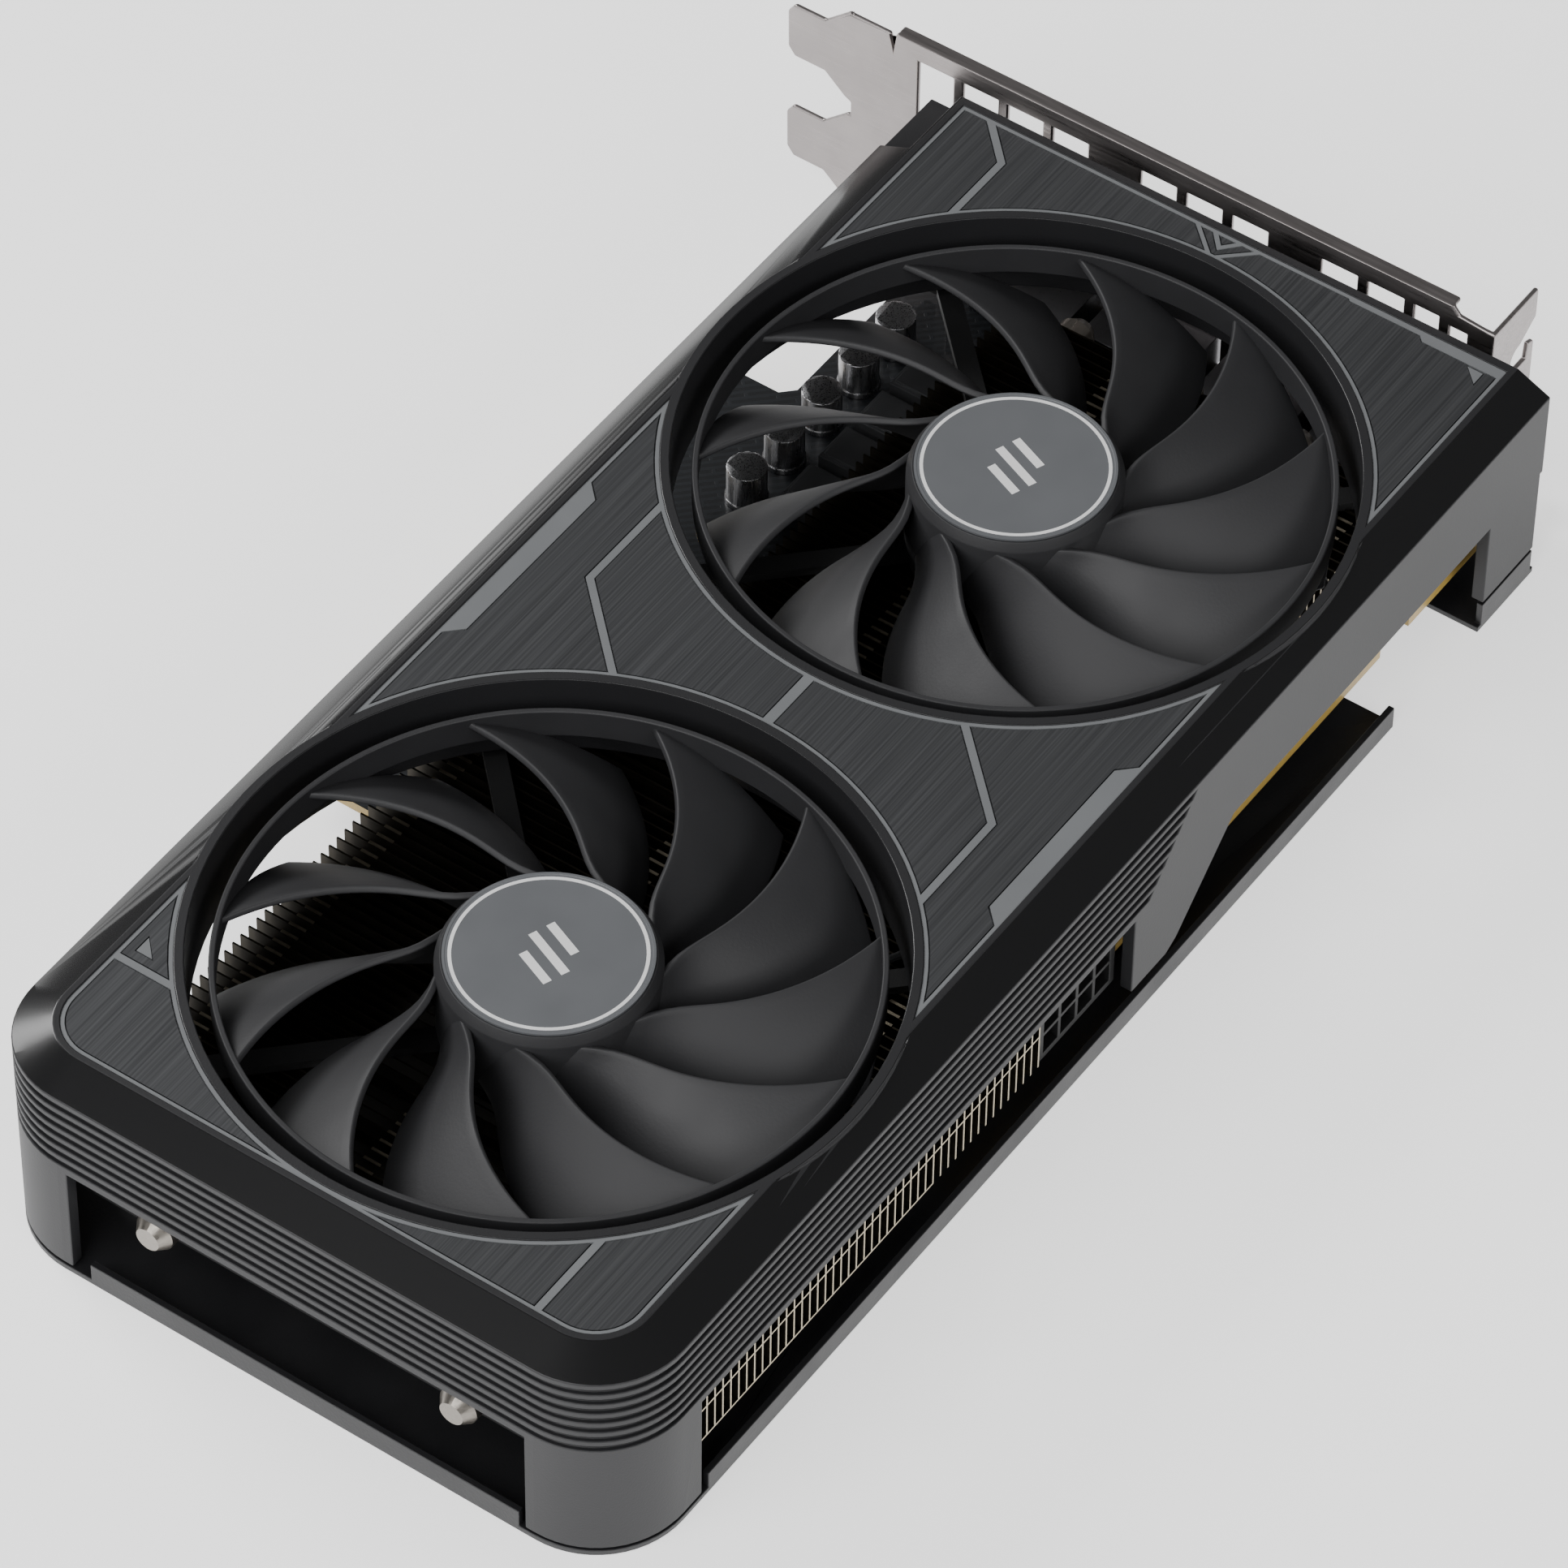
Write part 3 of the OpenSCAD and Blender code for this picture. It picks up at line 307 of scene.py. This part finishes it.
def contact_gold():
    """Hard gold plating over copper: bright, with fine wiping scratches along the insertion way."""
    return metal("gold plated hard", "#dcae52", "#f0cb78", 0.3, 0.12, 0.004, (1, 20, 1))


def fin_sheet():
    """Rolled aluminium fins: faces painted dark brown-grey as painted shade between the fins, and their
    ends, facing across the card, painted bright cream as a painted highlight.
    """
    material, tree, shader, where = start("aluminium rolled fins painted shade and highlight", Metallic=1.0)
    fine = add(tree, "ShaderNodeMapping", {"Vector": where, "Scale": per_mm(0.3, (1, 14, 1))}).outputs[0]
    marks = add(tree, "ShaderNodeTexNoise", {"Vector": fine, "Scale": 1.0, "Detail": 3.0}).outputs["Fac"]
    facing = add(tree, "ShaderNodeNewGeometry").outputs["Normal"]
    across = add(tree, "ShaderNodeSeparateXYZ", {"Vector": facing}).outputs["Y"]
    size = add(tree, "ShaderNodeMath", {0: across}, operation="ABSOLUTE").outputs[0]
    edge = add(tree, "ShaderNodeMath", {0: size, 1: 0.5}, operation="GREATER_THAN").outputs[0]
    # Painted shade: the fin faces take a dark brown-grey for the shade between the fins
    face = add(tree, "ShaderNodeMix", {
        "Factor": marks, "A": hexed("#37332c"), "B": hexed("#4d483f")}, data_type="RGBA").outputs["Result"]
    connect(
        tree, shader,
        # Painted highlight: the fin ends, whose normals point across the card, take a bright cream
        add(tree, "ShaderNodeMix", {"Factor": edge, "A": face, "B": hexed("#c4b9a2")}, data_type="RGBA"),
        add(tree, "ShaderNodeMapRange", {"Value": marks, "To Min": 0.35, "To Max": 0.55}),
        add(tree, "ShaderNodeBump", {"Height": marks, "Distance": 0.01 * MM, "Strength": 1.0}))
    return material


def hem_sheet():
    """Folded edges of the same fins, coloured lighter than the fins as a painted glint."""
    return metal("aluminium folded hems painted glint", "#a09784", "#b9b09c", 0.35, 0.3, 0.01)


def plated_copper():
    """Copper pipe and base plated with nickel: warm silver, drawn marks along the pipe."""
    return metal("nickel plated copper", "#85807a", "#a09b93", 0.34, 0.4, 0.01, (8, 1, 1))


def sintered_bronze():
    """Sintered bronze sleeve: porous and oily."""
    return metal("bronze sintered", "#8d6a38", "#a98349", 0.45, 0.2, 0.03)


def wound_copper():
    """Enamelled copper wire on laminated steel: fine red-brown turns."""
    material, tree, shader, where = start("copper wire enamelled", Metallic=0.8, Coat_Weight=0.4)
    turns = add(tree, "ShaderNodeTexWave", {
        "Vector": where, "Scale": 600.0, "Distortion": 0.6}, bands_direction="Z").outputs["Fac"]
    connect(
        tree, shader,
        add(tree, "ShaderNodeMix", {
            "Factor": turns, "A": hexed("#5e2c14"), "B": hexed("#a8592c")}, data_type="RGBA"),
        add(tree, "ShaderNodeMapRange", {"Value": turns, "To Min": 0.25, "To Max": 0.45}),
        add(tree, "ShaderNodeBump", {"Height": turns, "Distance": 0.05 * MM, "Strength": 1.0}))
    return material


def ferrite_ring():
    """Bonded ferrite magnet: dark grey, dull, slightly grainy."""
    return moulded("ferrite bonded", "#3a3a3e", "#47474b", 0.6, 0.3, 0.03)


def bright_steel():
    """Turned and plated steel of the screws: clean, with faint turning marks."""
    return metal("steel turned and plated", "#9a9a9c", "#b6b6b8", 0.28, 0.15, 0.006)


def black_steel():
    """Black oxide steel of the backplate screws: oily black with worn spots."""
    return metal("steel black oxide", "#2c2c2f", "#3f3f43", 0.4, 0.4, 0.01)


def spacer_brass():
    """Turned brass of the hexagonal spacers."""
    return metal("brass turned", "#b08d4a", "#c9a55c", 0.3, 0.2, 0.006)


def capacitor_can():
    """Drawn aluminium can of the capacitors: bright satin with fine drawing lines."""
    return metal("aluminium drawn can", "#a2a2a4", "#bcbcbe", 0.3, 0.2, 0.006, (1, 1, 12))


def pin_tin():
    """Tin-plated brass pins: soft bright metal."""
    return metal("tin plated brass", "#8c8776", "#a39d8b", 0.36, 0.2, 0.006)


def backplate_paint():
    """Aluminium sheet under black powder paint: low gloss with a fine orange-peel."""
    return moulded("powder paint black", "#1b1b1d", "#212123", 0.42, 0.5, 0.03)


def bracket_zinc():
    """Steel sheet, zinc-plated and rolled: pale silver, satin, with a faint rolling grain along it."""
    return metal("steel zinc plated", "#928c8b", "#aaa4a3", 0.32, 0.5, 0.006, (1, 18, 1))


def port_nickel():
    """Stamped steel shell plated with nickel."""
    return metal("steel nickel plated", "#77777a", "#909093", 0.34, 0.3, 0.006)


FINISH = {
    "matte_black_plastic": shroud_abs(), "baffle_black": baffle_sheet_painted_shade(),
    "brushed_grey": brushed_plate(), "light_grey_inlay": printed_inlay(),
    "screw_steel": bright_steel(), "screw_dark": black_steel(), "bearing_brass": sintered_bronze(),
    "stator_winding": wound_copper(), "fan_plastic": fan_pbt(), "badge_grey": badge_label(),
    "magnet_ferrite": ferrite_ring(), "cable_black": cable_pvc(), "plug_white": nylon_white(),
    "fin_aluminium": fin_sheet(), "plated_copper": plated_copper(), "pad_rubber": pad_silicone(),
    "board_black": board_mask(), "contact_gold": contact_gold(), "package_green": package_laminate(),
    "die_silicon": die_silicon(), "chip_black": chip_epoxy(), "choke_grey": choke_ferrite(),
    "capacitor_can": capacitor_can(), "connector_black": nylon_black_painted_shade(), "pin_tin": pin_tin(),
    "backplate_black": backplate_paint(), "standoff_brass": spacer_brass(), "bracket_steel": bracket_zinc(),
    "port_shell": port_nickel(),
}
FRAME_FINISH = frame_abs_painted_shade()
INK = badge_ink()
# Painted glint: lighter colour for the folds on the fins' top edges
HEM_GLINT = hem_sheet()


# ---------------------------------------------------------------- making pieces

def finished(name, mesh_maker, node, material, smooth_deg=35, extra=False):
    """Makes the piece that mesh_maker(bm) shapes. It rides with its CAD node, and unless it is extra,
    shows in the node's place."""
    bm = bmesh.new()
    mesh_maker(bm)
    mesh = bpy.data.meshes.new(name)
    bm.to_mesh(mesh)
    bm.free()
    mesh.shade_smooth()
    mesh.set_sharp_from_angle(angle=math.radians(smooth_deg))
    piece = bpy.data.objects.new(name, mesh)
    bpy.context.scene.collection.objects.link(piece)
    mesh.materials.append(material)
    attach(piece, BODY[node])
    if not extra:
        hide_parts(node)
    return piece


def round_edges(piece, width_mm, segments=2, angle_deg=32):
    """Rounds a piece's sharp edges."""
    rounding = piece.modifiers.new("rounding", "BEVEL")
    rounding.width = width_mm * MM
    rounding.segments = segments
    rounding.limit_method = "ANGLE"
    rounding.angle_limit = math.radians(angle_deg)
    rounding.use_clamp_overlap = False
    rounding.harden_normals = True


MOST_CORNERS = 30
# The shroud's bevel leans by 24 degrees, and its edges have to stay crisp
EDGE_DEG = 18
SEAM_MM = 0.018
FLAT_DEG = 0.5


def softened(node, width_mm, segments=2):
    """A copy of a CAD node with its corners merged and its edges rounded, shown in its place."""
    def copied(bm):
        bm.from_mesh(frame["nodes"][node].data)
        bmesh.ops.remove_doubles(bm, verts=bm.verts, dist=SEAM_MM * MM)
        bmesh.ops.dissolve_limit(
            bm, angle_limit=math.radians(FLAT_DEG), verts=bm.verts, edges=bm.edges,
            use_dissolve_boundaries=False)
        # Large outlines can cross themselves once their corners are rounded
        bmesh.ops.triangulate(bm, faces=[f for f in bm.faces if len(f.verts) > MOST_CORNERS])
    piece = finished(f"{node}_finished", copied, node, FINISH[SLOT[node]], EDGE_DEG)
    round_edges(piece, width_mm, segments, EDGE_DEG)
    return piece


def merge(bm):
    """Closes seams and poles, and points the faces outwards."""
    bmesh.ops.remove_doubles(bm, verts=bm.verts, dist=0.005 * MM)
    bmesh.ops.recalc_face_normals(bm, faces=bm.faces)


def spun(bm, centre, profile_mm, steps=96):
    """Spins a closed profile of (radius, height) about the upright line through centre."""
    corners = [bm.verts.new((centre.x + r * MM, centre.y, z * MM)) for r, z in profile_mm]
    edges = [bm.edges.new((a, b)) for a, b in zip(corners, corners[1:] + corners[:1])]
    bmesh.ops.spin(
        bm, geom=corners + edges, cent=centre, axis=(0, 0, 1), angle=math.tau, steps=steps,
        use_merge=True, use_duplicate=False)


def middle(node):
    """Centre of a CAD node's box."""
    low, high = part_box(node)
    return (Vector(low) + Vector(high)) / 2


# ---------------------------------------------------------------- fans

# Rotor, in mm
HUB_R = 15.4
HUB_T = 0.9
HUB_LOW = 23.8
SHAFT_R = 1.25
TOP_Z = 36.1
RING_R = 45.3
RING_T = 0.9
RING_H = 4.9
# Blades, in mm, and in degrees about the axis
BLADES = 11
BLADE_TOP = 34.8
BLADE_DROP = 10.2
BLADE_T = 1.0
BLADE_BOW = 0.9
BLADE_EDGE_R = 0.3
BLADE_SUNK = 0.4
RIM_RADIANS = 0.9
# The leading edge stands at LEAD_DEG at radius LEAD_R, sweeps on outwards, and hooks back at the hub
LEAD_DEG = 22.3
LEAD_R = 20
SWEEP_PER_MM = 1.13
HOOK_DEG = 14
HOOK_MM = 1.8
# From leading to trailing edge a blade spans CHORD_DEG at radius CHORD_R, and more further out
CHORD_DEG = 22
CHORD_R = 15
CHORD_PER_MM = 0.17
# The near fan rests a little further round than the far one
NEAR_TURN_DEG = 5


def blade_point(r, across):
    """Point on a blade's upper face: across is 0 at the leading edge and 1 at the trailing edge."""
    lead = LEAD_DEG + SWEEP_PER_MM * (r - LEAD_R) - HOOK_DEG * math.exp((HUB_R - r) / HOOK_MM)
    chord = CHORD_DEG + CHORD_PER_MM * (r - CHORD_R)
    angle = math.radians(lead - chord * across)
    bow = BLADE_BOW * math.sin(math.pi * across)
    z = BLADE_TOP - BLADE_DROP * across + bow + BLADE_T / 2
    return Vector((r * math.cos(angle), r * math.sin(angle), z)) * MM


def blade(bm):
    """One swept blade about the origin, from inside the hub's wall to inside the ring."""
    grid = bmesh.ops.create_grid(bm, x_segments=22, y_segments=10, size=0.5)["verts"]
    inner = HUB_R - BLADE_SUNK
    outer = RING_R - RING_T / 2
    for v in grid:
        v.co = blade_point(inner + (outer - inner) * (v.co.x + 0.5), v.co.y + 0.5)
    faces = list({f for v in grid for f in v.link_faces})
    bmesh.ops.recalc_face_normals(bm, faces=faces)
    if faces[0].normal.z < 0:
        bmesh.ops.reverse_faces(bm, faces=faces)
    bmesh.ops.solidify(bm, geom=faces, thickness=BLADE_T * MM)
    rim = [e for e in bm.edges if len(e.link_faces) == 2 and e.calc_face_angle() > RIM_RADIANS]
    bmesh.ops.bevel(
        bm, geom=rim, offset=BLADE_EDGE_R * MM, offset_type="OFFSET", segments=3, profile=0.5,
        affect="EDGES", material=-1)


def turn_about_axis(bm, verts, angle):
    """Turns points about the upright line through the origin."""
    bmesh.ops.rotate(bm, verts=verts, cent=(0, 0, 0), matrix=Matrix.Rotation(angle, 3, "Z"))


def all_blades(bm, centre, turn_deg):
    """The blades of one fan, spaced evenly about its axis."""
    blade(bm)
    first = bm.verts[:] + bm.edges[:] + bm.faces[:]
    for i in range(1, BLADES):
        copy = bmesh.ops.duplicate(bm, geom=first)["geom"]
        moved = [g for g in copy if isinstance(g, bmesh.types.BMVert)]
        turn_about_axis(bm, moved, math.tau * i / BLADES)
    turn_about_axis(bm, bm.verts, math.radians(turn_deg))
    bmesh.ops.translate(bm, verts=bm.verts, vec=(centre.x, centre.y, 0))


def fan(which):
    """Hub, blades and the ring that joins the blade tips."""
    node = f"rotor_{which}"
    centre = middle(node)
    centre.z = 0
    ring_low = TOP_Z - RING_H
    ceiling = TOP_Z - 1.4
    face = TOP_Z + 0.9

    def blades(bm):
        all_blades(bm, centre, NEAR_TURN_DEG if which == "near" else 0)

    def hub(bm):
        # From the shaft up over the face, down the chamfered rim and wall, and back inside
        spun(bm, centre, [
            (SHAFT_R, ceiling), (SHAFT_R, TOP_Z), (0, TOP_Z), (0, face), (HUB_R - 1, face),
            (HUB_R - 0.85, TOP_Z + 0.95), (HUB_R - 0.1, TOP_Z - 0.3), (HUB_R, TOP_Z - 0.6),
            (HUB_R, HUB_LOW), (HUB_R - HUB_T, HUB_LOW), (HUB_R - HUB_T, ceiling)])
        merge(bm)

    def ring(bm):
        inner = RING_R - RING_T
        spun(bm, centre, [(inner, ring_low), (RING_R, ring_low), (RING_R, TOP_Z), (inner, TOP_Z)], 144)
        merge(bm)

    finish = FINISH["fan_plastic"]
    finished(f"{which}_fan_blades", blades, node, finish, 50)
    round_edges(finished(f"{which}_fan_hub", hub, node, finish), 0.12)
    round_edges(finished(f"{which}_fan_ring", ring, node, finish), 0.25, 3)


BADGE_R = 14.3
# Depths below the badge's rim
LABEL_SUNK = 0.08
INK_LOW = 0.1
INK_HIGH = 0.04
# Radii of the printed ring, and the bars, of which the outer two are shorter by BAR_STEP
INK_RING = (13.0, 13.5)
BAR_W = 1.3
BAR_LENGTH = 8.4
BAR_STEP = 2.2
BAR_PITCH = 3.1
BAR_DEG = -22


def badge(which):
    """Label disc with a raised rim, a white ring and three plain slanted bars, the middle one longest."""
    node = f"fan_badge_{which}"
    centre = middle(node)
    low, high = (z / MM for z in (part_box(node)[0][2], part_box(node)[1][2]))
    centre.z = 0
    label = high - LABEL_SUNK
    ink_low = high - INK_LOW
    ink_high = high - INK_HIGH

    def disc(bm):
        spun(bm, centre, [
            (0, low), (BADGE_R, low), (BADGE_R, high), (BADGE_R - 0.35, high), (BADGE_R - 0.45, label),
            (0, label)])
        merge(bm)

    def ink(bm):
        inner, outer = INK_RING
        spun(bm, centre, [(inner, ink_low), (outer, ink_low), (outer, ink_high), (inner, ink_high)])
        merge(bm)
        for i in (-1, 0, 1):
            made = bmesh.ops.create_cube(bm, size=1)["verts"]
            length = BAR_LENGTH - BAR_STEP * abs(i)
            x = centre.x + BAR_PITCH * i * MM
            z = (ink_low + ink_high) / 2 * MM
            bmesh.ops.scale(bm, verts=made, vec=(BAR_W * MM, length * MM, (ink_high - ink_low) * MM))
            turn_about_axis(bm, made, math.radians(BAR_DEG))
            bmesh.ops.translate(bm, verts=made, vec=(x, centre.y, z))
    finished(f"{which}_badge_disc", disc, node, FINISH["badge_grey"])
    finished(f"{which}_badge_ink", ink, node, INK)


# ---------------------------------------------------------------- fin hems

FIN_PITCH = 1.8
FIRST_FIN = 0.23
FIN_TOP = 21.6
HEM_W = 0.45
HEM_LENGTH = 2.8
HEM_H = 0.14
# Each row's distance from the fan's axis across the card
HEM_ROWS = (-35.6, 5.6, 38.5)


def fin_hem_glints(which):
    """Short folds along the fins' top edges, in rows across the stack; their lighter colour is a painted
    glint.
    """
    node = f"fins_{which}"
    low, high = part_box(node)
    axis_y = middle(f"rotor_{which}").y
    rows = [axis_y + row * MM for row in HEM_ROWS if axis_y + row * MM < high[1]]
    fins = round((high[0] - low[0]) / (FIN_PITCH * MM)) + 1

    def folds(bm):
        for i in range(fins):
            x = low[0] + (FIRST_FIN + i * FIN_PITCH) * MM
            for y in rows:
                made = bmesh.ops.create_cube(bm, size=1)["verts"]
                bmesh.ops.scale(bm, verts=made, vec=(HEM_W * MM, HEM_LENGTH * MM, HEM_H * MM))
                bmesh.ops.translate(bm, verts=made, vec=(x, y, (FIN_TOP + HEM_H / 2) * MM))
    finished(f"{which}_fin_hem_glints", folds, node, HEM_GLINT, extra=True)


# ---------------------------------------------------------------- camera, light, floor

LENS_MM = 203.87
EYE = (-0.6800, -0.4754, 0.9306)
# The way the picture's right side points, and the way from the card to the camera
RIGHT = (0.5754, -0.8178, 0.0103)
BACK = (-0.5507, -0.3781, 0.7442)
LAMP_AIM = Vector((0, 0, 0.02))
SKY = 0.2
FLOOR_HALF = 4
FLOOR_GAP_MM = 0.1


def camera():
    """A long lens from above the far end and the long edge."""
    data = bpy.data.cameras.new("camera")
    data.sensor_width = 36
    data.lens = LENS_MM
    data.clip_start = 0.1
    data.clip_end = 20
    eye = bpy.data.objects.new("camera", data)
    right = Vector(RIGHT).normalized()
    back = Vector(BACK).normalized()
    up = back.cross(right)
    turn = Matrix((right, up, back)).transposed()
    eye.matrix_world = Matrix.Translation(EYE) @ turn.to_4x4()
    bpy.context.scene.collection.objects.link(eye)
    bpy.context.scene.camera = eye


def lamp(name, at, size, watts):
    """A flat rectangular lamp that faces the card."""
    data = bpy.data.lights.new(name, "AREA")
    data.shape = "RECTANGLE"
    data.size, data.size_y = size
    data.energy = watts
    lamp_object = bpy.data.objects.new(name, data)
    lamp_object.location = at
    lamp_object.rotation_euler = (LAMP_AIM - Vector(at)).to_track_quat("-Z", "Y").to_euler()
    bpy.context.scene.collection.objects.link(lamp_object)


def studio():
    """Plain pale floor and soft light."""
    world = bpy.data.worlds.new("studio")
    bpy.context.scene.world = world
    world.use_nodes = True
    background = world.node_tree.nodes["Background"]
    background.inputs["Color"].default_value = (1, 1, 1, 1)
    background.inputs["Strength"].default_value = SKY
    lamp("key", (-1.15, 0.1, 1.0), (1.3, 1.3), 20)
    lamp("side", (0.16, 1.05, 0.78), (0.5, 0.5), 9)
    lamp("front", (-0.3, -1.2, 0.9), (0.9, 0.5), 7)
    bm = bmesh.new()
    bmesh.ops.create_grid(bm, x_segments=1, y_segments=1, size=FLOOR_HALF)
    bmesh.ops.translate(bm, verts=bm.verts, vec=(0, 0, -FLOOR_GAP_MM * MM))
    mesh = bpy.data.meshes.new("floor")
    bm.to_mesh(mesh)
    bm.free()
    floor = bpy.data.objects.new("floor", mesh)
    bpy.context.scene.collection.objects.link(floor)
    paper = moulded(
        "paper white", "#f2f2f2", "#f6f6f6", 0.9, 3, 0.01,
        Emission_Strength=1.0, Emission_Color=(1, 1, 1, 1))
    mesh.materials.append(paper)


# ---------------------------------------------------------------- assembly

camera()
studio()
for name, cad_node in frame["nodes"].items():
    finish = FRAME_FINISH if name.startswith("fan_frame") else FINISH[SLOT[name]]
    for material_slot in cad_node.material_slots:
        material_slot.material = finish
for which in FANS:
    fan(which)
    badge(which)
    fin_hem_glints(which)
softened("shroud", 0.2)
softened("bracket", 0.38, 4)
softened("backplate", 0.15)
SMALL_NODES = (
    "power_connector", "chokes", "capacitors", "standoffs", "bracket_screws", "dp_ports",
    "hdmi_port", "base_plate", "lead_plugs", "fan_headers")
for name in SMALL_NODES:
    softened(name, 0.1)
